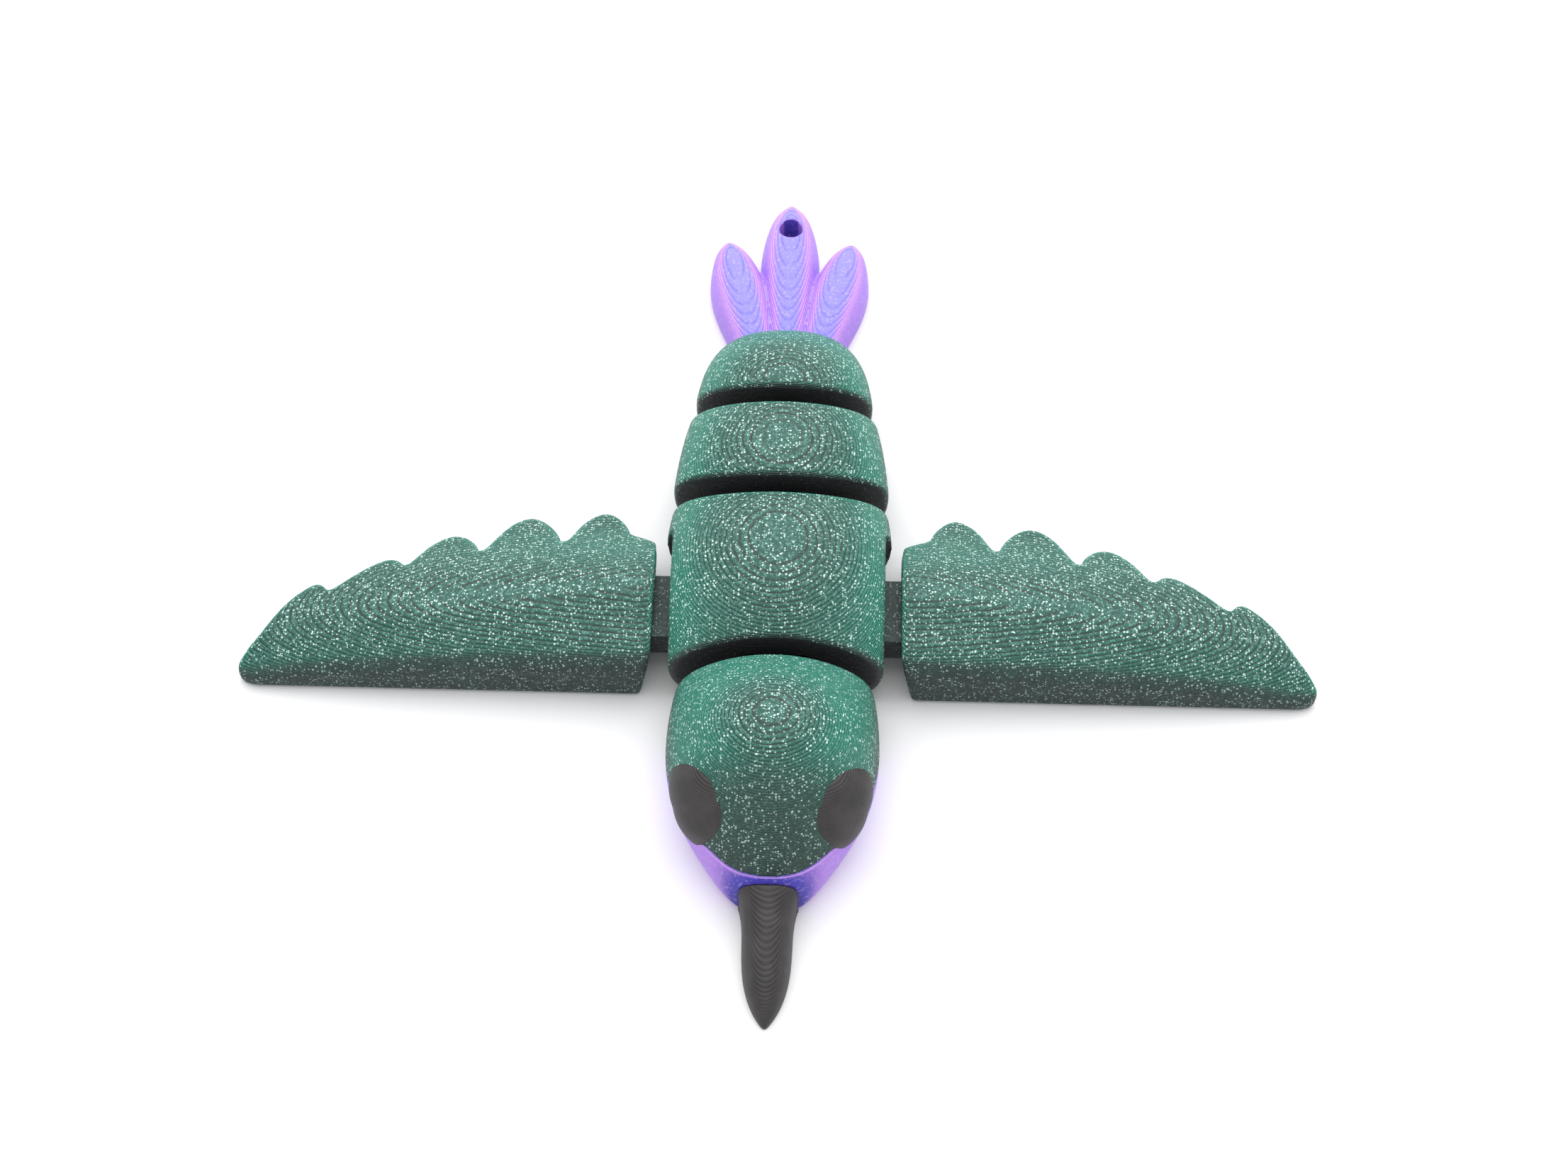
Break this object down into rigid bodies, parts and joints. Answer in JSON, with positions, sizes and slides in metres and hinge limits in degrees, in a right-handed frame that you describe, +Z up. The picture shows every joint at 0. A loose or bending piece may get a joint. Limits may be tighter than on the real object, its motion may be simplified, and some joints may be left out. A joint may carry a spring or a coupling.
{
  "type": "jointed hummingbird figure",
  "caption": "Print-in-place articulated hummingbird figure: segmented body on vertical pins, flapping wings on flank hinges, fused two-tone head and a tail fan with a key-ring hole.",
  "frame": {"origin": "centre of the overall box on the surface that the figure lies on", "axes": "+X out along the bird's left wing side of the view (wing_right), +Y towards the tail, +Z up from the flat belly"},
  "size_m": [0.1268, 0.1148, 0.0174],
  "materials": {
    "green_glitter": "printed plastic, dark green with silver glitter, fine layer lines",
    "purple_silk": "printed silk plastic, blue-violet to pink, fine layer lines",
    "black_matte": "printed plastic, matte black, fine layer lines"
  },
  "bodies": {
    "chest": {"chest_shell": "green_glitter", "neck_pin": "green_glitter", "waist_link": "green_glitter", "wing_pin_left": "green_glitter", "wing_pin_right": "green_glitter"},
    "head": {"head_shell": "green_glitter", "throat": "purple_silk", "beak": "black_matte", "eye_left": "black_matte", "eye_right": "black_matte", "neck_link": "green_glitter"},
    "abdomen": {"abdomen_shell": "green_glitter", "waist_pin": "green_glitter", "rump_link": "green_glitter"},
    "rump": {"rump_shell": "green_glitter", "rump_pin": "green_glitter", "tail_fan": "purple_silk"},
    "right_wing": {"wing_right": "green_glitter", "wing_knuckle_right": "green_glitter"},
    "left_wing": {"wing_left": "green_glitter", "wing_knuckle_left": "green_glitter"}
  },
  "joints": [
    {"name": "neck_yaw", "type": "hinge", "parent": "chest", "child": "head", "pos_m": [0, -0.0115, 0.0056], "axis": [0, 0, 1], "range_deg": [-9, 9]},
    {"name": "waist_yaw", "type": "hinge", "parent": "chest", "child": "abdomen", "pos_m": [0, 0.0098, 0.0056], "axis": [0, 0, 1], "range_deg": [-9, 9]},
    {"name": "rump_yaw", "type": "hinge", "parent": "abdomen", "child": "rump", "pos_m": [0, 0.0237, 0.0056], "axis": [0, 0, 1], "range_deg": [-12, 12]},
    {"name": "right_wing_flap", "type": "hinge", "parent": "chest", "child": "right_wing", "pos_m": [0.0094, -0.0078, 0.0052], "axis": [0, -1, 0], "range_deg": [-22, 20]},
    {"name": "left_wing_flap", "type": "hinge", "parent": "chest", "child": "left_wing", "pos_m": [-0.0094, -0.0078, 0.0052], "axis": [0, 1, 0], "range_deg": [-22, 20]}
  ]
}
